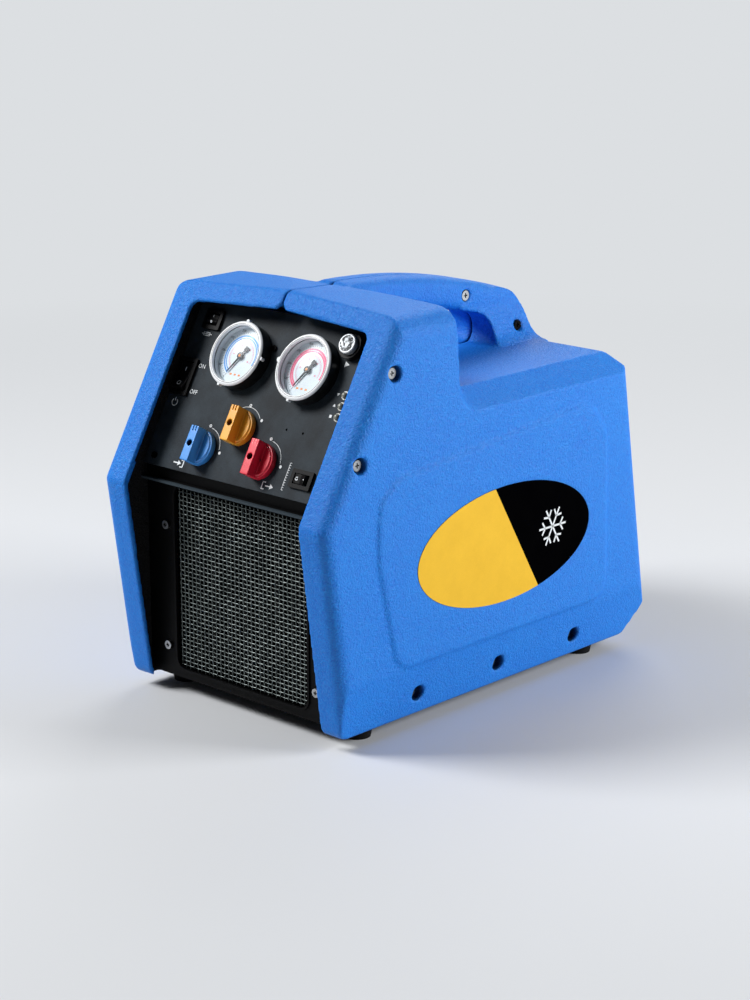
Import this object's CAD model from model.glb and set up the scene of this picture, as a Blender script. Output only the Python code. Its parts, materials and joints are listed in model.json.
import json
import math

import bmesh
import bpy
from mathutils import Matrix, Vector


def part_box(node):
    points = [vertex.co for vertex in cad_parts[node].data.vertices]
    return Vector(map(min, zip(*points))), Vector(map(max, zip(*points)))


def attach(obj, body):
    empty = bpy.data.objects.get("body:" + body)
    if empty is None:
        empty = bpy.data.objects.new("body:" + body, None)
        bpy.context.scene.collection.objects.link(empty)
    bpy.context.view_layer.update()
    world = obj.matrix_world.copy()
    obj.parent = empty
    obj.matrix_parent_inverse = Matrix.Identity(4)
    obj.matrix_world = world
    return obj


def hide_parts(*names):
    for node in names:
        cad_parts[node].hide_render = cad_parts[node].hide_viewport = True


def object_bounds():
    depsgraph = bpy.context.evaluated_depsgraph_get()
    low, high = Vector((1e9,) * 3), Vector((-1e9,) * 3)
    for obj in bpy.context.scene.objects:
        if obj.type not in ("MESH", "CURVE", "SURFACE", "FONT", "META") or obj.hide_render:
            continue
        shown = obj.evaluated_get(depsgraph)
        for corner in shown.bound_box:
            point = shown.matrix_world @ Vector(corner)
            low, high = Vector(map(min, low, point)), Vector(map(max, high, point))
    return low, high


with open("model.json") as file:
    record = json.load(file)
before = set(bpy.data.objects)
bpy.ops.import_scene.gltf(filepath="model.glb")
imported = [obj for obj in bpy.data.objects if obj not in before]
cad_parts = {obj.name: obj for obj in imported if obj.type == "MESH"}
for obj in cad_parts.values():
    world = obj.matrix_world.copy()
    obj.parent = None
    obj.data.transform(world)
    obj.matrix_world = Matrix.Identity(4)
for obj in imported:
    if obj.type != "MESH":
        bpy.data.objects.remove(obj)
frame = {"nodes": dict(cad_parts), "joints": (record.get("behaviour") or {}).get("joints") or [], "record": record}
cadLow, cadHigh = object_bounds()
nodes = frame["nodes"]
record = frame["record"]
joints = {joint["name"]: joint for joint in frame["joints"]}
mounts = {mount["name"]: mount for mount in record["mounts"]}
slotOf = {part["node"]: part["material_slot"] for part in record["subparts"]}
bodyOf = {node: body for body, members in record["behaviour"]["bodies"].items() for node in members}
mm = 0.001
toRight = Vector((1, 0, 0))
toBack = Vector((0, 1, 0))
toTop = Vector((0, 0, 1))
panelOut = -Vector(joints["inlet_turn"]["axis"])
panelUp = panelOut.cross(toRight)
print("frame loaded:", len(nodes), "nodes")


# how far a node reaches along a direction
def reachAlong(name, direction):
    return max(v.co.dot(direction) for v in nodes[name].data.vertices)


# middle of a node in the panel's own directions
def middle(name):
    place = Vector((0, 0, 0))
    for axis in (toRight, panelUp, panelOut):
        place += axis * (reachAlong(name, axis) - reachAlong(name, -axis)) / 2
    return place


# colour as read off a screen, 0 to 255, turned into the linear values that shaders take
def paint(red, green, blue):
    def linear(value):
        share = value / 255
        return share / 12.92 if value < 10 else ((share + 0.055) / 1.055) ** 2.4

    return linear(red), linear(green), linear(blue), 1


# one output socket, with arithmetic that adds Math nodes
class Field:
    def __init__(self, tree, socket=None):
        self.tree = tree
        self.socket = socket

    def feed(self, socket):
        self.tree.links.new(self.socket, socket)

    def node(self, kind, settings, inputs, output=0):
        made = self.tree.nodes.new(kind)
        for name, value in settings.items():
            setattr(made, name, value)
        for key, value in inputs.items():
            if isinstance(value, Field):
                value.feed(made.inputs[key])
            else:
                made.inputs[key].default_value = value
        return Field(self.tree, made.outputs[output])

    def math(self, operation, *values):
        return self.node("ShaderNodeMath", {"operation": operation}, dict(enumerate(values)))

    def __add__(self, other):
        return self.math("ADD", self, other)

    __radd__ = __add__

    def __sub__(self, other):
        return self.math("SUBTRACT", self, other)

    def __rsub__(self, other):
        return self.math("SUBTRACT", other, self)

    def __mul__(self, other):
        return self.math("MULTIPLY", self, other)

    __rmul__ = __mul__

    # 0 below low, 1 above high
    def between(self, low, high):
        inputs = {"Value": self, "From Min": low, "From Max": high}
        return self.node("ShaderNodeMapRange", {"clamp": True}, inputs)

    def noise(self, size, detail=3.0, rough=0.5, twist=0.0):
        inputs = {
            "Vector": self,
            "Scale": 1 / size,
            "Detail": detail,
            "Roughness": rough,
            "Distortion": twist,
        }
        return self.node("ShaderNodeTexNoise", {}, inputs)

    def cells(self, size, feature):
        inputs = {"Vector": self, "Scale": 1 / size}
        return self.node("ShaderNodeTexVoronoi", {"feature": feature}, inputs)

    def stretch(self, x, y, z):
        return self.node("ShaderNodeVectorMath", {"operation": "MULTIPLY"}, {0: self, 1: (x, y, z)})

    def along(self, direction):
        return self.node("ShaderNodeVectorMath", {"operation": "DOT_PRODUCT"}, {0: self, 1: direction}, 1)

    def length(self):
        return self.node("ShaderNodeVectorMath", {"operation": "LENGTH"}, {0: self}, 1)

    def blend(self, low, high):
        return self.node("ShaderNodeMix", {"data_type": "RGBA"}, {0: self, 6: low, 7: high}, 2)

    def bump(self, depth, strength):
        inputs = {"Height": self, "Distance": depth, "Strength": strength}
        return self.node("ShaderNodeBump", {}, inputs)

    # 1 in the open, towards 0 in holes and corners narrower than the reach
    def openness(self, reach):
        return self.node("ShaderNodeAmbientOcclusion", {"samples": 6}, {"Distance": reach}, 1)


# a new material, a field without a socket to start its nodes from, and its shader
def startMaterial(name):
    material = bpy.data.materials.new(name)
    material.use_nodes = True
    tree = material.node_tree
    return material, Field(tree), tree.nodes["Principled BSDF"]


# fixed holds the shader's constant sockets, and grow gives those that vary from the place on the surface
def makeFinish(name, fixed, grow):
    material, blank, shader = startMaterial(name)
    for socket, value in fixed.items():
        shader.inputs[socket].default_value = value
    place = blank.node("ShaderNodeTexCoord", {}, {}, "Object")
    for socket, value in grow(place).items():
        value.feed(shader.inputs[socket])
    return material


# shows the other shader where the factor is 1
def mixShaders(material, factor, shader, other):
    first = Field(factor.tree, shader.outputs[0])
    mix = factor.node("ShaderNodeMixShader", {}, {0: factor, 1: first, 2: other})
    mix.feed(material.node_tree.nodes["Material Output"].inputs["Surface"])


shellLook = {
    "blue": paint(22, 136, 228),
    "deep": paint(14, 108, 212),
    "hollow": paint(2, 6, 20),
    "black": paint(4, 4, 5),
    "wrinkle": 2.0 * mm,
    "pebble": 1.7 * mm,
    "pore": 0.6 * mm,
    "cloud": 60 * mm,
    "depth": 0.9 * mm,
    "strength": 0.9,
    "roughness": 0.4,
    "gloss": 0.34,
    "reach": 16 * mm,
    "toeLean": math.radians(8),
    "lip": 5 * mm,
    "fold": 46 * mm,
    "opening": 112 * mm,
    "openingTop": 173 * mm,
}
# the frontmost point, where the sloping hood meets the lower front
knee = min((v.co for v in nodes["left_shell"].data.vertices), key=lambda co: co.y).copy()
toeOut = Vector((0, -math.cos(shellLook["toeLean"]), -math.sin(shellLook["toeLean"])))


# 1 on the folds inside the front rim, behind its lip
def insideRim(place):
    behindHood = panelOut.dot(knee) - place.along(panelOut)
    behindToe = toeOut.dot(knee) - place.along(toeOut)
    depth = place.math("MINIMUM", behindHood, behindToe)
    side = place.math("ABSOLUTE", place.along(toRight))
    behindLip = depth.between(shellLook["lip"], shellLook["lip"] + mm)
    folded = behindLip * (shellLook["fold"] - depth).between(0, mm)
    below = (shellLook["openingTop"] + panelUp.dot(knee) - place.along(panelUp)).between(0, mm)
    return folded * below * (shellLook["opening"] - side).between(0, mm)


# moulded plastic with a pebbled leather grain, darker in its holes and creases
def shellGrain(place):
    wrinkles = place.noise(shellLook["wrinkle"], 2.0, 0.5, 1.4)
    pebbles = place.cells(shellLook["pebble"], "SMOOTH_F1")
    pores = place.noise(shellLook["pore"], 2.0)
    cloud = place.noise(shellLook["cloud"], 2.0)
    height = 1.1 * wrinkles + (1 - pebbles) * 0.5 + 0.2 * pores
    tone = (1.3 * wrinkles - 0.35 * pebbles + 0.25 * pores + 0.2 * cloud).between(0.45, 1.05)
    bare = place.openness(shellLook["reach"]).between(0.2, 0.8)
    blue = bare.blend(shellLook["hollow"], tone.blend(shellLook["deep"], shellLook["blue"]))
    return {
        "Base Color": insideRim(place).blend(blue, shellLook["black"]),
        "Roughness": shellLook["roughness"] + 0.14 * pores + 0.06 * cloud,
        "Normal": height.bump(shellLook["depth"], shellLook["strength"]),
    }


# what the plain finishes share
wear = {
    "smudge": 24 * mm,
    "stain": 18 * mm,
    "lineDepth": 0.02 * mm,
    "holeReach": 9 * mm,
    "hole": paint(3, 3, 4),
}


# paint or plastic with fine specks, smudges and a slight unevenness; speck and depth in millimetres
def satin(colour, shade, speck, roughness, depth):
    def grow(place):
        specks = place.noise(speck * mm, 3.0, 0.6)
        smudge = place.noise(wear["smudge"], 4.0, 0.6)
        patches = (0.4 * specks + 0.6 * smudge).between(0.35, 0.65)
        return {
            "Base Color": patches.blend(paint(*shade), paint(*colour)),
            "Roughness": (roughness - 0.1) + 0.12 * specks + 0.1 * smudge,
            "Normal": specks.bump(depth * mm, 0.6),
        }

    return grow


# metal with fine lines along one axis, dark where it sits deep in a hole; line in millimetres
def drawn(colour, shade, roughness, line, axes=(1, 1, 0.04)):
    def grow(place):
        lines = place.stretch(*axes).noise(line * mm, 3.0, 0.6)
        stain = place.noise(wear["stain"], 4.0, 0.6)
        bare = (0.5 * lines + 0.5 * stain).between(0.3, 0.7).blend(paint(*shade), paint(*colour))
        return {
            "Base Color": place.openness(wear["holeReach"]).between(0.4, 0.8).blend(wear["hole"], bare),
            "Roughness": (roughness - 0.08) + 0.12 * lines + 0.06 * stain,
            "Normal": lines.bump(wear["lineDepth"], 0.5),
        }

    return grow


# another colour where the mask is 1
def masked(grow, mask, colour):
    def changed(place):
        sockets = grow(place)
        sockets["Base Color"] = mask(place).blend(sockets["Base Color"], paint(*colour))
        return sockets

    return changed


# darker in corners and under edges nearer than the reach
def shaded(grow, reach, colour):
    return masked(grow, lambda place: 1 - place.openness(reach).between(0.3, 0.8), colour)


# square of the distance from an axis that stands on the panel
def spread(across, up):
    return across * across + up * up


bezelLook = {
    "front": reachAlong("low_gauge_bezel", panelOut),
    "middle": middle("high_gauge_bezel"),
    "ring": 1.6 * mm,
    "inside": 25.5 * mm,
    "case": 24.2 * mm,
    "edge": 0.2 * mm,
    "sideBlack": (16, 17, 19),
    "caseWhite": (226, 232, 236),
}


# 1 further from the middle of either gauge than the radius
def outsideGauge(place, radius):
    across = place.math("ABSOLUTE", place.along(toRight)) - bezelLook["middle"].x
    away = spread(across, place.along(panelUp) - bezelLook["middle"].dot(panelUp))
    return away.between(radius ** 2, (radius + bezelLook["edge"]) ** 2)


# outer side of either bezel, behind the white ring
def bezelSide(place):
    low = bezelLook["front"] - bezelLook["ring"] - place.along(panelOut)
    return low.between(0, bezelLook["edge"]) * outsideGauge(place, bezelLook["inside"])


def caseInside(place):
    return 1 - outsideGauge(place, bezelLook["case"])


startMiddle = middle("start_button")
startLook = {
    "rim": 0.8 * (reachAlong("start_button", toRight) - startMiddle.x),
    "edge": 0.4 * mm,
    "mirror": 4 * mm,
    "depth": 0.02 * mm,
    "dark": paint(20, 21, 23),
    "light": paint(176, 180, 184),
    "rimSilver": paint(196, 199, 202),
}


# polished cap that mirrors a dark room inside a pale rim
def buttonCap(place):
    across = place.along(toRight) - startMiddle.x
    away = spread(across, place.along(panelUp) - startMiddle.dot(panelUp))
    rim = away.between(startLook["rim"] ** 2, (startLook["rim"] + startLook["edge"]) ** 2)
    cloudy = place.noise(startLook["mirror"], 4.0, 0.7, 1.2)
    mirrored = cloudy.between(0.49, 0.62).blend(startLook["dark"], startLook["light"])
    return {
        "Base Color": rim.blend(mirrored, startLook["rimSilver"]),
        "Roughness": 0.35 + 0.2 * cloudy,
        "Normal": cloudy.bump(startLook["depth"], 0.5),
    }


ledgeLook = {"front": reachAlong("front_plate", -toBack), "deep": 4 * mm, "slate": (58, 68, 75)}


# ledge that juts forward near the upper end of the front plate
def plateLedge(place):
    ahead = place.along(-toBack) - ledgeLook["front"]
    return ahead.between(-ledgeLook["deep"], mm - ledgeLook["deep"])


# black are the plate screws above the panel's height, and the shell screws high up and far behind
blackScrews = {"panel": 190 * mm, "rearLeg": 260 * mm, "behind": 120 * mm, "black": (8, 8, 9)}


def panelScrew(place):
    return place.along(toTop).between(blackScrews["panel"], blackScrews["panel"] + mm)


def rearLegScrew(place):
    high = place.along(toTop).between(blackScrews["rearLeg"], blackScrews["rearLeg"] + mm)
    return high * place.along(toBack).between(blackScrews["behind"], blackScrews["behind"] + mm)


lensLook = {"roughness": 0.15, "gloss": 0.02}


# clear plastic with a faint gloss, which lets the lamps through to the dial
def clearLens():
    material, blank, glass = startMaterial("clearLens")
    glass.inputs["Roughness"].default_value = lensLook["roughness"]
    glass.inputs["Transmission Weight"].default_value = 1.0
    shadow = blank.node("ShaderNodeLightPath", {}, {}, "Is Shadow Ray")
    seen = 1 - (1 - shadow) * lensLook["gloss"]
    mixShaders(material, seen, glass, blank.node("ShaderNodeBsdfTransparent", {}, {}))
    return material


metal = {"Metallic": 1.0}
polished = {"Metallic": 0.6}
anodised = {"Metallic": 0.4}
dull = {"Specular IOR Level": 0.1}
matt = {"Specular IOR Level": 0.0}
coated = {"Coat Weight": 0.15}
shellGloss = {"Specular IOR Level": shellLook["gloss"]}
steelHead = drawn((206, 208, 210), (150, 153, 156), 0.34, 0.5)
blackSheet = satin((6, 6, 7), (3, 3, 4), 0.7, 0.5, 0.05)
bezelWhite = satin((252, 253, 254), (240, 243, 246), 0.8, 0.3, 0.01)
caseBlack = satin((24, 25, 27), (14, 15, 16), 0.6, 0.4, 0.02)
# by slot: name and constants, then colour, shade, speck, roughness and depth
satinLooks = {
    "label": ("labelAmber", dull, (236, 188, 54), (226, 178, 48), 0.8, 0.45, 0.01),
    "rubber": ("footRubber", dull, (26, 26, 27), (17, 17, 18), 1.2, 0.8, 0.08),
    "panel": ("panelSlate", dull, (53, 62, 69), (27, 32, 37), 0.6, 0.5, 0.04),
    "black_plastic": ("blackPlastic", dull, (14, 14, 16), (8, 8, 9), 0.6, 0.42, 0.04),
    "rocker": ("rockerBlack", dull, (9, 9, 11), (6, 6, 7), 0.5, 0.45, 0.01),
    "dial": ("dialWhite", dull, (232, 243, 250), (222, 236, 246), 0.8, 0.5, 0.01),
    "pointer": ("pointerGrey", dull, (74, 80, 86), (52, 57, 62), 0.4, 0.4, 0.01),
    "lamp": ("lampLens", coated, (150, 152, 142), (112, 114, 106), 0.5, 0.25, 0.01),
    "motor": ("motorPaint", dull, (92, 98, 104), (70, 75, 80), 0.8, 0.45, 0.05),
    "casting": ("rawCasting", metal, (176, 180, 184), (140, 144, 148), 0.7, 0.5, 0.12),
    "filter": ("filterPaint", coated, (40, 84, 150), (30, 66, 124), 0.8, 0.35, 0.02),
}
# by slot: name and constants, then colour, shade, roughness, line and the stretch on each axis
drawnLooks = {
    "mesh": ("meshWire", metal, (128, 136, 134), (56, 62, 62), 0.34, 1.2),
    "brass": ("turnedBrass", metal, (216, 180, 104), (186, 148, 76), 0.3, 0.6, (1, 0.05, 1)),
    "shaft_steel": ("shaftSteel", metal, (206, 208, 210), (170, 172, 176), 0.3, 0.5),
    "fin": ("finBlack", anodised, (40, 43, 45), (24, 26, 28), 0.45, 0.8),
    "copper": ("bareCopper", metal, (206, 132, 94), (160, 92, 62), 0.34, 1.0, (0.05, 1, 1)),
}
# by slot: name, colour, shade and the colour of the corners
knobLooks = {
    "knob_blue": ("knobBlue", (70, 158, 240), (52, 138, 226), (10, 36, 84)),
    "knob_amber": ("knobAmber", (250, 180, 48), (240, 162, 34), (150, 84, 10)),
    "knob_red": ("knobRed", (240, 30, 62), (222, 20, 50), (80, 2, 10)),
}
knobGrain = {"speck": 0.9, "roughness": 0.38, "depth": 0.03, "reach": 10 * mm}
finishes = {
    "shell": makeFinish("shellPlastic", shellGloss, shellGrain),
    "screw_steel": makeFinish("screwSteel", metal, steelHead),
    "black_sheet": makeFinish("blackSheet", dull, blackSheet),
    "gauge_case": makeFinish("gaugeCase", dull, masked(caseBlack, caseInside, bezelLook["caseWhite"])),
    "bezel": makeFinish("bezelWhite", coated, masked(bezelWhite, bezelSide, bezelLook["sideBlack"])),
    "button": makeFinish("buttonSilver", polished, buttonCap),
    "lens": clearLens(),
}
for slot, (name, fixed, *look) in satinLooks.items():
    finishes[slot] = makeFinish(name, fixed, satin(*look))
for slot, (name, fixed, *look) in drawnLooks.items():
    finishes[slot] = makeFinish(name, fixed, drawn(*look))
for slot, (name, colour, shade, corner) in knobLooks.items():
    grain = satin(colour, shade, knobGrain["speck"], knobGrain["roughness"], knobGrain["depth"])
    finishes[slot] = makeFinish(name, coated, shaded(grain, knobGrain["reach"], corner))

# by ink: name and constants, then colour, shade and speck
inkLooks = {
    "white": ("inkWhite", {}, (232, 236, 238), (216, 221, 224), 0.4),
    "black": ("inkBlack", matt, (4, 4, 5), (2, 2, 3), 0.8),
    "blue": ("inkBlue", {}, (66, 156, 234), (54, 144, 226), 0.4),
    "pink": ("inkPink", {}, (236, 96, 140), (228, 84, 128), 0.4),
    "rose": ("inkRose", {}, (228, 146, 176), (220, 136, 166), 0.4),
    "grey": ("inkGrey", {}, (70, 76, 82), (58, 64, 70), 0.4),
    "orange": ("inkOrange", {}, (240, 146, 52), (232, 134, 42), 0.4),
}
inkGrain = {"roughness": 0.5, "depth": 0.01}
printInk = {}
for ink, (name, fixed, *look) in inkLooks.items():
    printInk[ink] = makeFinish(name, fixed, satin(*look, inkGrain["roughness"], inkGrain["depth"]))

# nodes that differ from the rest of their slot
ownFinishes = {
    "front_plate": makeFinish("frontPlate", dull, masked(blackSheet, plateLedge, ledgeLook["slate"])),
    "plate_screws": makeFinish("plateScrew", metal, masked(steelHead, panelScrew, blackScrews["black"])),
    "shell_screws": makeFinish("shellScrew", metal, masked(steelHead, rearLegScrew, blackScrews["black"])),
}
for name, obj in nodes.items():
    obj.data.materials.clear()
    obj.data.materials.append(ownFinishes.get(name, finishes[slotOf[name]]))
print("finishes made:", len(finishes) + len(printInk) + len(ownFinishes))

# moulded pieces: voxel size, smoothing passes and the share of faces that is kept
softPieces = {
    "left_shell": (1.5 * mm, 5, 0.3),
    "right_shell": (1.5 * mm, 5, 0.3),
    "inlet_knob": (0.4 * mm, 3, 0.4),
    "mode_knob": (0.4 * mm, 3, 0.4),
    "outlet_knob": (0.4 * mm, 3, 0.4),
    "power_rocker": (0.35 * mm, 3, 0.4),
    "breaker_rocker": (0.3 * mm, 3, 0.4),
    "cutoff_rocker": (0.3 * mm, 3, 0.4),
}


def soften(obj, voxel, passes, kept):
    remesh = obj.modifiers.new("moulded", "REMESH")
    remesh.mode = "VOXEL"
    remesh.voxel_size = voxel
    remesh.use_smooth_shade = True
    relax = obj.modifiers.new("relaxed", "SMOOTH")
    relax.factor = 0.5
    relax.iterations = passes
    thin = obj.modifiers.new("thinned", "DECIMATE")
    thin.ratio = kept


for name, sizes in softPieces.items():
    soften(nodes[name], *sizes)
print("moulded pieces softened:", len(softPieces))


# places a drawing at the point, with its X, Y and Z along the three directions
def turnedTo(point, x, y, z):
    return Matrix.Translation(point) @ Matrix((x, y, z)).transposed().to_4x4()


# X across, Y up the slope, Z out of the panel
def onPanel(point):
    return turnedTo(point, toRight, panelUp, panelOut)


# the point moved along the direction until it lies on the node's furthest plane
def raised(point, direction, name, lift):
    return point + direction * (reachAlong(name, direction) + lift - point.dot(direction))


# turns a drawing so that its X runs along the object's Y, its Y upwards and its Z across
sideways = Matrix(((0, 0, 1), (1, 0, 0), (0, 1, 0))).to_4x4()


# closed plate from a flat outline
def addPlate(bm, outline, low, high):
    bottom = [bm.verts.new((x, y, low)) for x, y in outline]
    top = [bm.verts.new((x, y, high)) for x, y in outline]
    bm.faces.new(list(reversed(bottom)))
    bm.faces.new(top)
    count = len(outline)
    for i in range(count):
        j = (i + 1) % count
        bm.faces.new((bottom[i], bottom[j], top[j], top[i]))


# faces between neighbouring rings of points
def joinRings(bm, rings):
    count = len(rings[0])
    for near, far in zip(rings, rings[1:]):
        for i in range(count):
            j = (i + 1) % count
            bm.faces.new((near[i], near[j], far[j], far[i]))


def scaled(outline):
    return [(x * mm, y * mm) for x, y in outline]


def moved(outline, x, y):
    return [(u + x, v + y) for u, v in outline]


def polar(radius, angle):
    return radius * math.cos(math.radians(angle)), radius * math.sin(math.radians(angle))


def disc(radius, x=0, y=0):
    return moved([polar(radius, angle) for angle in range(0, 360, 20)], x, y)


def arcBand(inner, outer, start, stop):
    steps = max(2, round(abs(stop - start) / 6))
    angles = [start + (stop - start) * i / steps for i in range(steps + 1)]
    return [polar(outer, a) for a in angles] + [polar(inner, a) for a in reversed(angles)]


def ring(inner, outer):
    return [arcBand(inner, outer, 0, 180), arcBand(inner, outer, 180, 360)]


def bar(x, y, width, height, angle=0):
    c, s = polar(1, angle)
    w, h = width / 2, height / 2
    corners = [(-w, -h), (w, -h), (w, h), (-w, h)]
    return [(x + u * c - v * s, y + u * s + v * c) for u, v in corners]


def newObject(name, bm, material, matrix, body):
    bmesh.ops.recalc_face_normals(bm, faces=bm.faces)
    mesh = bpy.data.meshes.new(name)
    bm.to_mesh(mesh)
    bm.free()
    mesh.materials.append(material)
    obj = bpy.data.objects.new(name, mesh)
    bpy.context.scene.collection.objects.link(obj)
    obj.matrix_world = matrix
    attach(obj, body)
    return obj


# lip of the rim round the knee: its reach up the hood and down the lower front, its thickness and its sides
lipLook = {
    "up": 22 * mm,
    "down": 62 * mm,
    "proud": 0.05 * mm,
    "thick": 4.5 * mm,
    "inner": 97 * mm,
    "outer": 110 * mm,
}


def rimLip(name, side):
    bend = (panelOut + toeOut).normalized()
    top = knee + panelUp * lipLook["up"]
    bottom = knee + Vector((0, -toeOut.z, toeOut.y)) * lipLook["down"]
    edge = [(top, panelOut), (knee, bend / bend.dot(panelOut)), (bottom, toeOut)]
    strip = [place + out * lipLook["proud"] for place, out in edge]
    strip += [place - out * lipLook["thick"] for place, out in reversed(edge)]
    sides = sorted((side * lipLook["inner"], side * lipLook["outer"]))
    bm = bmesh.new()
    addPlate(bm, [(point.y, point.z) for point in strip], *sides)
    bmesh.ops.transform(bm, matrix=sideways, verts=bm.verts)
    obj = newObject(name, bm, finishes["shell"], Matrix.Identity(4), "housing")
    soften(obj, *softPieces["left_shell"])


rimLip("rimLipLeft", -1)
rimLip("rimLipRight", 1)
print("rim closed")

# thickness of the ink, and the font's size for each unit of a letter's height
inkLayer = {"thick": 0.06 * mm, "fontSize": 1.4}


# flat print in one ink, given as outlines in millimetres
def printed(name, ink, outlines, matrix, body="housing"):
    bm = bmesh.new()
    for outline in outlines:
        addPlate(bm, scaled(outline), 0, inkLayer["thick"])
    newObject(name, bm, printInk[ink], matrix, body)


# letters and numbers as flat print, each given as (words, x, y, height) in millimetres
def lettered(name, ink, words, matrix):
    bm = bmesh.new()
    for text, x, y, height in words:
        curve = bpy.data.curves.new(name, "FONT")
        curve.body = text
        curve.size = height * mm * inkLayer["fontSize"]
        curve.align_x = "CENTER"
        curve.align_y = "CENTER"
        curve.extrude = inkLayer["thick"] / 2
        curve.resolution_u = 3
        holder = bpy.data.objects.new(name, curve)
        bpy.context.scene.collection.objects.link(holder)
        bpy.context.view_layer.update()
        graph = bpy.context.evaluated_depsgraph_get()
        mesh = bpy.data.meshes.new_from_object(holder.evaluated_get(graph))
        mesh.transform(Matrix.Translation((x * mm, y * mm, inkLayer["thick"] / 2)))
        bm.from_mesh(mesh)
        bpy.data.objects.remove(holder)
        bpy.data.curves.remove(curve)
        bpy.data.meshes.remove(mesh)
    bmesh.ops.remove_doubles(bm, verts=bm.verts, dist=1e-7)
    newObject(name, bm, printInk[ink], matrix, "housing")


# angles run clockwise from the pointer's rest, and a tick is its radius, length and width in millimetres
dialLook = {
    "rest": 239,
    "sweep": 262,
    "parts": 40,
    "longEvery": 5,
    "longTick": (19.2, 2.2, 0.28),
    "shortTick": (19.6, 1.2, 0.18),
    "fineParts": 60,
    "fineTick": (11.6, 1.0, 0.16),
    "fineRing": (12.4, 12.7),
    "numbers": {"count": 8, "radius": 21.9, "height": 2.0},
    "smallNumbers": {"count": 4, "radius": 9.2, "height": 1.5},
    "smallScale": 10,
    "marks": (-4.6, 0, 4.6),
    "markLevel": -15.5,
    "mark": (2.2, 1.5),
    "groove": (24.5, 24.9),
    "lift": 0.02 * mm,
    "lugAt": 27.4,
    "lugDepth": (-5 * mm, -1.5 * mm),
    "hub": 1.1,
}
# bands are inner and outer radius, top ends the scale, and the bezel's locking lugs are (angle, radius)
gauges = {
    "low": {
        "joint": "low_gauge_swing",
        "ink": "blue",
        "bands": ((14.8, 15.7), (16.4, 17.8)),
        "top": 400,
        "lugs": ((90, 1.6), (0, 1.4), (255, 1.4)),
    },
    "high": {
        "joint": "high_gauge_swing",
        "ink": "pink",
        "bands": ((14.8, 16.1), (16.3, 18.0)),
        "top": 800,
        "lugs": ((175, 2.2), (262, 1.4)),
    },
}


def dialAngle(share):
    return dialLook["rest"] - dialLook["sweep"] * share


def scaleArc(inner, outer):
    return arcBand(inner, outer, dialAngle(0), dialAngle(1))


def tick(share, radius, length, width):
    angle = dialAngle(share)
    return bar(*polar(radius, angle), length, width, angle)


# numbers from 0 to top, evenly along the scale
def scaleNumbers(top, count, radius, height):
    shares = [i / count for i in range(count + 1)]
    return [(str(round(top * share)), *polar(radius, dialAngle(share)), height) for share in shares]


def mainTicks():
    ticks = []
    for i in range(dialLook["parts"] + 1):
        look = dialLook["shortTick"] if i % dialLook["longEvery"] else dialLook["longTick"]
        ticks.append(tick(i / dialLook["parts"], *look))
    return ticks


def fineScale():
    count = dialLook["fineParts"]
    ticks = [tick(i / count, *dialLook["fineTick"]) for i in range(count + 1)]
    return ticks + [scaleArc(*dialLook["fineRing"])]


def dress(gauge, look):
    axis = Vector(joints[look["joint"]]["pos_m"])

    def over(piece):
        return onPanel(raised(axis, panelOut, gauge + "_gauge_" + piece, dialLook["lift"]))

    dial, bezel, pointer = over("dial"), over("bezel"), over("pointer")
    top, smallTop = look["top"], look["top"] / dialLook["smallScale"]
    marks = [bar(x, dialLook["markLevel"], *dialLook["mark"]) for x in dialLook["marks"]]
    printed(gauge + "DialBand", look["ink"], [scaleArc(*band) for band in look["bands"]], dial)
    printed(gauge + "DialTicks", "grey", mainTicks(), dial)
    printed(gauge + "DialFineScale", "rose", fineScale(), dial)
    lettered(gauge + "DialNumbers", "grey", scaleNumbers(top, **dialLook["numbers"]), dial)
    lettered(gauge + "DialSmallNumbers", "pink", scaleNumbers(smallTop, **dialLook["smallNumbers"]), dial)
    printed(gauge + "DialMarks", "orange", marks, dial)
    printed(gauge + "BezelGroove", "grey", ring(*dialLook["groove"]), bezel)
    bm = bmesh.new()
    for angle, radius in look["lugs"]:
        lug = disc(radius, *polar(dialLook["lugAt"], angle))
        addPlate(bm, scaled(lug), *dialLook["lugDepth"])
    newObject(gauge + "BezelLugs", bm, printInk["white"], bezel, "housing")
    pointerBody = bodyOf[gauge + "_gauge_pointer"]
    printed(gauge + "PointerHub", "orange", [disc(dialLook["hub"])], pointer, pointerBody)


for gauge, look in gauges.items():
    dress(gauge, look)
print("dials printed")

# plain weave that stands for the flat grille bars
weave = {"across": 4.5 * mm, "up": 3.65 * mm, "wire": 1.1 * mm, "sides": 6}


# closed wire along the points; across is square to the wire in the plane of the grille
def addWire(bm, points, across):
    rings = []
    for point in points:
        corners = []
        for i in range(weave["sides"]):
            turn = 2 * math.pi * i / weave["sides"]
            out = math.cos(turn) * across + math.sin(turn) * toBack
            corners.append(bm.verts.new(point + weave["wire"] / 2 * out))
        rings.append(corners)
    joinRings(bm, rings)
    bm.faces.new(list(reversed(rings[0])))
    bm.faces.new(rings[-1])


def wireMesh():
    low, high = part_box("grille_mesh")
    plane = (low.y + high.y) / 2
    rise = (high.y - low.y - weave["wire"]) / 2
    columns = int((high.x - low.x) / weave["across"])
    rows = int((high.z - low.z) / weave["up"])

    # where a wire passes a column and a row, bowed forwards and backwards in turn
    def passing(column, row, bow):
        x = low.x + (column + 0.5) * weave["across"]
        z = low.z + (row + 0.5) * weave["up"]
        return Vector((x, plane + bow * math.cos(math.pi * (column + row)), z))

    bm = bmesh.new()
    for column in range(columns):
        addWire(bm, [passing(column, k / 2, rise) for k in range(2 * rows - 1)], toRight)
    for row in range(rows):
        addWire(bm, [passing(k / 2, row, -rise) for k in range(2 * columns - 1)], toTop)
    obj = newObject("wovenGrille", bm, finishes["mesh"], Matrix.Identity(4), "housing")
    obj.data.shade_smooth()
    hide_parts("grille_mesh")


wireMesh()
print("grille woven")

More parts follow.
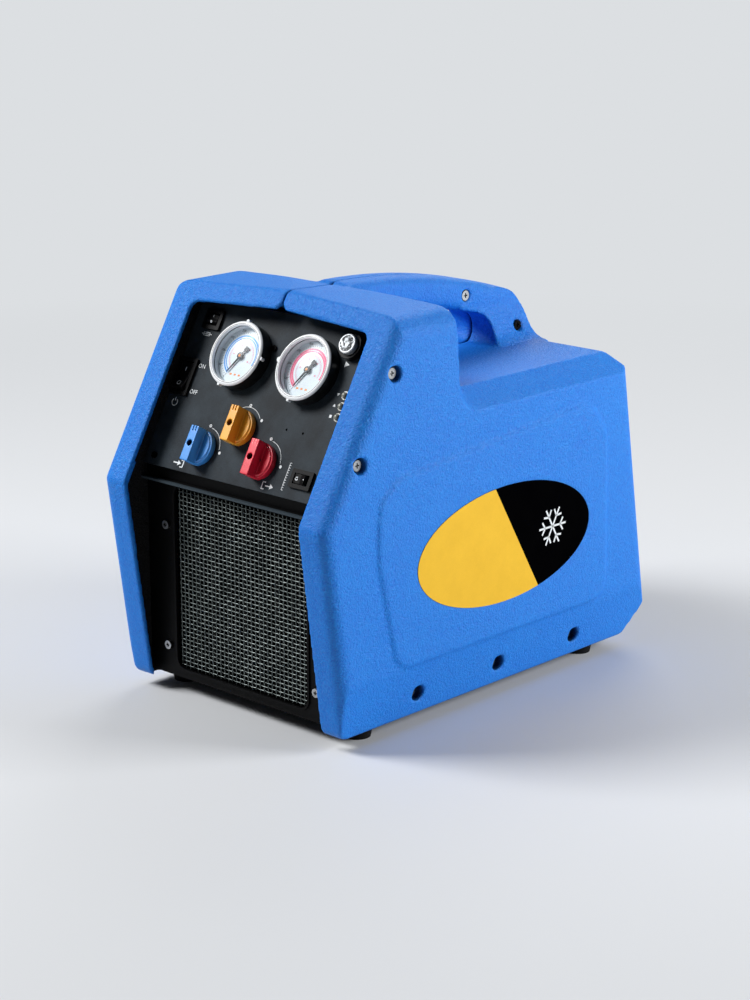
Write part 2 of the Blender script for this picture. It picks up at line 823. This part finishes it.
# two-tone oval on the right side; the split runs between two points in millimetres from its middle
labelLook = {
    "thick": 0.35 * mm,
    "proud": 0.25 * mm,
    "splitTop": (-22, 60),
    "splitBottom": (50, -60),
    "steps": 96,
}
flakeLook = {
    "place": (58, 2),
    "arm": 17,
    "armEvery": 60,
    "branchAt": 9.5,
    "branch": 6.5,
    "fork": 55,
    "stroke": 1.7,
}


# the part of an outline on one side of the line from start to end
def cutOff(outline, start, end, side):
    (x0, y0), (x1, y1) = start, end

    def beyond(point):
        return side * ((x1 - x0) * (point[1] - y0) - (y1 - y0) * (point[0] - x0))

    kept = []
    for p, q in zip(outline, outline[1:] + outline[:1]):
        u, v = beyond(p), beyond(q)
        if u >= 0:
            kept.append(p)
        if u * v < 0:
            t = u / (u - v)
            kept.append((p[0] + t * (q[0] - p[0]), p[1] + t * (q[1] - p[1])))
    return kept


def snowflake():
    arm, branch, stroke = flakeLook["arm"], flakeLook["branch"], flakeLook["stroke"]
    angles = range(0, 360, flakeLook["armEvery"])
    flake = [bar(*polar(arm / 2, angle), arm, stroke, angle) for angle in angles]
    for angle in angles:
        for turn in (angle - flakeLook["fork"], angle + flakeLook["fork"]):
            twig = bar(*polar(branch / 2, turn), branch, stroke, turn)
            flake.append(moved(twig, *polar(flakeLook["branchAt"], angle)))
    return [moved(shape, *flakeLook["place"]) for shape in flake]


def ovalLabel():
    low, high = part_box("oval_label")
    centre = (low + high) / 2
    halfLong = (high.y - low.y) / 2 / mm
    halfHigh = (high.z - low.z) / 2 / mm
    turns = [2 * math.pi * i / labelLook["steps"] for i in range(labelLook["steps"])]
    outline = [(halfLong * math.cos(turn), halfHigh * math.sin(turn)) for turn in turns]
    base = cadHigh.x + labelLook["proud"] - labelLook["thick"]
    matrix = Matrix.Translation((base, centre.y, centre.z)) @ sideways

    def half(name, side, material):
        shape = cutOff(outline, labelLook["splitTop"], labelLook["splitBottom"], side)
        bm = bmesh.new()
        addPlate(bm, scaled(shape), 0, labelLook["thick"])
        return newObject(name, bm, material, matrix, "housing")

    front = half("labelFront", -1, finishes["label"])
    half("labelRear", 1, printInk["black"])
    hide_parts("oval_label")
    printed("labelFlake", "white", snowflake(), matrix @ Matrix.Translation((0, 0, labelLook["thick"])))


ovalLabel()
print("label laid")

# white print on the panel and the rockers, in millimetres from the middle of the piece it belongs to
markLook = {
    "lift": 0.02 * mm,
    "above": 50 * mm,
    "stroke": 0.7,
    "stopAt": 19.5,
    "stopDot": 1.3,
    "arc": (17.9, 18.3),
    "arcGap": 8,
    "word": 3.6,
}
# angles at which each valve stops, with its rest first
valveStops = {"inlet": (90, 0), "mode": (90, 30, 150), "outlet": (90, 0)}


def beside(name):
    return onPanel(raised(middle(name), panelOut, "control_panel", markLook["lift"]))


# where a line straight into the panel first meets a piece, with Z off its surface
def stuckOn(name, right, up):
    start = middle(name) + toRight * right * mm + panelUp * up * mm + panelOut * markLook["above"]
    graph = bpy.context.evaluated_depsgraph_get()
    place, normal = nodes[name].evaluated_get(graph).ray_cast(start, -panelOut)[1:3]
    across = (toRight - normal * normal.x).normalized()
    return turnedTo(place + normal * markLook["lift"], across, normal.cross(across), normal)


def hoop(radius, x=0, y=0):
    return [moved(half, x, y) for half in ring(radius - markLook["stroke"], radius)]


def valveMarks(valve, stops):
    gap = markLook["arcGap"]
    shapes = [arcBand(*markLook["arc"], min(stops) + gap, max(stops) - gap)]
    shapes += hoop(markLook["stopDot"], *polar(markLook["stopAt"], stops[0]))
    shapes += [disc(markLook["stopDot"], *polar(markLook["stopAt"], angle)) for angle in stops[1:]]
    printed(valve + "Stops", "white", shapes, beside(valve + "_knob"))


arrow = [bar(-2, 0, 5, 1.1), [(0.4, -2.2), (4, 0), (0.4, 2.2)]]
bracket = [bar(4.9, 0, 0.9, 6.4), bar(3.4, 2.8, 3, 0.8), bar(3.4, -2.8, 3, 0.8)]
mirroredBracket = [[(-x - 1.4, y) for x, y in reversed(shape)] for shape in bracket]
fuse = [bar(0, y, 7, 0.5) for y in (1.3, -1.3)] + [bar(x, 0, 0.5, 2.6) for x in (-3.4, 3.4)]
ladder = [bar(0, 0, 0.4, 22)] + [bar(0.9, 2 * i - 11, 1.4, 0.4) for i in range(12)]
pressureLow = [(-1.4, 1), (0, -1.4), (1.4, 1)]
pressureHigh = [(-1.4, -1), (1.4, -1), (0, 1.4)]
cylinderFull = bar(0, 0, 2.4, 2.4)
# signs beside the lamps, by their height on the panel
lampRows = {-8.9: cylinderFull, 0: pressureHigh, 8.9: pressureLow}
# by sign: the piece beside it, its place there and its outlines
panelSigns = {
    "arrowIn": ("inlet_knob", (-21, -15.5), arrow + [moved(shape, 1.6, 0) for shape in bracket]),
    "arrowOut": ("outlet_knob", (14, -17), [moved(shape, 1.6, 0) for shape in arrow] + mirroredBracket),
    "powerSign": ("power_switch_body", (-1, -22), [arcBand(2.6, 3.4, 130, 410), bar(0, 2.6, 0.8, 3.2)]),
    "fuseSign": ("breaker_body", (-3, -12.5), fuse + [bar(0, 0, 11, 0.5)]),
    "startSign": ("start_button", (-3.2, -14), [[(0, -2.4), (4.6, 0), (0, 2.4)]]),
    "lampSigns": ("indicator_lamps", (-8, 0), [moved(shape, 0, row) for row, shape in lampRows.items()]),
    "cutoffLadder": ("cutoff_switch_body", (-17.8, 0), ladder),
}
# by mark: the switch, the place on its rocker and the outlines
rockerMarks = {
    "powerOn": ("power", (0, 6.5), [bar(0, 0, 0.9, 4.4)]),
    "powerOff": ("power", (0, -6.5), hoop(2.1)),
    "breakerOn": ("breaker", (0, 2.4), [bar(0, 0, 0.6, 1.8)]),
    "breakerOff": ("breaker", (0, -2.4), hoop(1.1)),
    "cutoffOff": ("cutoff", (-4.4, 0), hoop(1.5)),
    "cutoffOn": ("cutoff", (4.4, 0), [bar(0, 0, 2.6, 0.7)]),
}
powerWords = [("ON", 14.5, 11, markLook["word"]), ("OFF", 15.5, -11, markLook["word"])]
for valve, stops in valveStops.items():
    valveMarks(valve, stops)
for name, (node, place, shapes) in panelSigns.items():
    printed(name, "white", [moved(shape, *place) for shape in shapes], beside(node))
lettered("powerWords", "white", powerWords, beside("power_switch_body"))
for name, (switch, place, shapes) in rockerMarks.items():
    printed(name, "white", shapes, stuckOn(switch + "_rocker", *place), switch + "_lever")
print("panel printed")

# thread ridges on the hose ports; the tip stays plain, and flank and start count in pitches
threadLook = {
    "height": 0.28 * mm,
    "pitch": 1.27 * mm,
    "plain": 1.6 * mm,
    "sunk": 0.1 * mm,
    "flank": 0.45,
    "start": 0.7,
    "steps": 40,
}


def threadRidges(mount, node):
    out = Vector(mount["axis"])
    radius = mount["dims"]["r_mm"] * mm
    length = mount["dims"]["length_mm"] * mm
    base = Vector(mount["pos_m"]) - out * (length / 2)
    foot = radius - threadLook["sunk"]
    flank = threadLook["pitch"] * threadLook["flank"]
    profile = [(foot, -flank), (radius + threadLook["height"], 0), (foot, flank)]
    bm = bmesh.new()
    for k in range(int((length - threadLook["plain"]) / threadLook["pitch"])):
        level = (k + threadLook["start"]) * threadLook["pitch"]
        rings = []
        for i in range(threadLook["steps"]):
            turn = 2 * math.pi * i / threadLook["steps"]
            c, s = math.cos(turn), math.sin(turn)
            rings.append([bm.verts.new((r * c, r * s, level + z)) for r, z in profile])
        joinRings(bm, rings + rings[:1])
    matrix = turnedTo(base, toRight, out.cross(toRight), out)
    obj = newObject(node + "Thread", bm, finishes["brass"], matrix, bodyOf[node])


threadRidges(mounts["inlet_flare"], "inlet_port")
threadRidges(mounts["outlet_flare"], "outlet_port")
print("threads cut")

# pale floor that turns into an even backdrop away from the object, in metres
floorLook = {
    "colour": paint(214, 216, 219),
    "backdrop": paint(220, 223, 226),
    "roughness": 0.7,
    "size": 60,
    "near": 0.2,
    "far": 1.7,
    "rays": ("Is Camera Ray", "Is Glossy Ray", "Is Transmission Ray"),
}


def paleFloor():
    bpy.ops.mesh.primitive_plane_add(size=floorLook["size"], location=(0, 0, 0))
    floor = bpy.context.object
    floor.name = "paleFloor"
    material, blank, lit = startMaterial("paleFloor")
    lit.inputs["Base Color"].default_value = floorLook["colour"]
    lit.inputs["Roughness"].default_value = floorLook["roughness"]
    even = blank.node("ShaderNodeEmission", {}, {"Color": floorLook["backdrop"]})
    camera, glossy, through = (blank.node("ShaderNodeLightPath", {}, {}, ray) for ray in floorLook["rays"])
    away = blank.node("ShaderNodeTexCoord", {}, {}, "Object").length()
    factor = away.between(floorLook["near"], floorLook["far"]) * (camera + glossy + through)
    mixShaders(material, factor, lit, even)
    floor.data.materials.append(material)


paleFloor()
print("floor laid")

# soft boxes: azimuth and elevation in degrees, distance, size and power, aimed at the middle of the object
lamps = {
    "frontLeft": (-46, 42, 2.3, 0.9, 56),
    "right": (124, 18, 2.3, 1.1, 54),
    "behind": (208, 34, 2.3, 1.3, 16),
}
worldLook = {"Color": (0.9, 0.95, 1.0, 1), "Strength": 0.07}
aim = (cadLow + cadHigh) / 2


def awayFrom(azimuth, elevation):
    a, e = math.radians(azimuth), math.radians(elevation)
    return Vector((math.sin(a) * math.cos(e), -math.cos(a) * math.cos(e), math.sin(e)))


# sets up a lamp or camera at a distance from the target, looking back at it
def lookAt(name, data, target, back, distance):
    obj = bpy.data.objects.new(name, data)
    obj.location = target + back * distance
    obj.rotation_mode = "QUATERNION"
    obj.rotation_quaternion = (-back).to_track_quat("-Z", "Y")
    bpy.context.scene.collection.objects.link(obj)
    return obj


for name, (azimuth, elevation, distance, size, power) in lamps.items():
    light = bpy.data.lights.new(name, "AREA")
    light.size = size
    light.energy = power
    lookAt(name, light, aim, awayFrom(azimuth, elevation), distance)
world = bpy.data.worlds.new("studio")
world.use_nodes = True
for socket, value in worldLook.items():
    world.node_tree.nodes["Background"].inputs[socket].default_value = value
bpy.context.scene.world = world
bpy.context.scene.view_settings.view_transform = "Standard"
print("studio lit")

# the photograph's viewpoint: degrees, metres, and millimetres of lens and sensor
viewpoint = {
    "azimuth": 42.98,
    "elevation": 15.58,
    "distance": 1.99417,
    "target": Vector((0, -0.01361, 0.14646)),
    "lens": 86.758,
    "sensor": 36,
}


def placeCamera():
    back = awayFrom(viewpoint["azimuth"], viewpoint["elevation"])
    data = bpy.data.cameras.new("viewpoint")
    data.lens = viewpoint["lens"]
    data.sensor_width = viewpoint["sensor"]
    camera = lookAt("viewpoint", data, viewpoint["target"], back, viewpoint["distance"])
    bpy.context.scene.camera = camera


placeCamera()
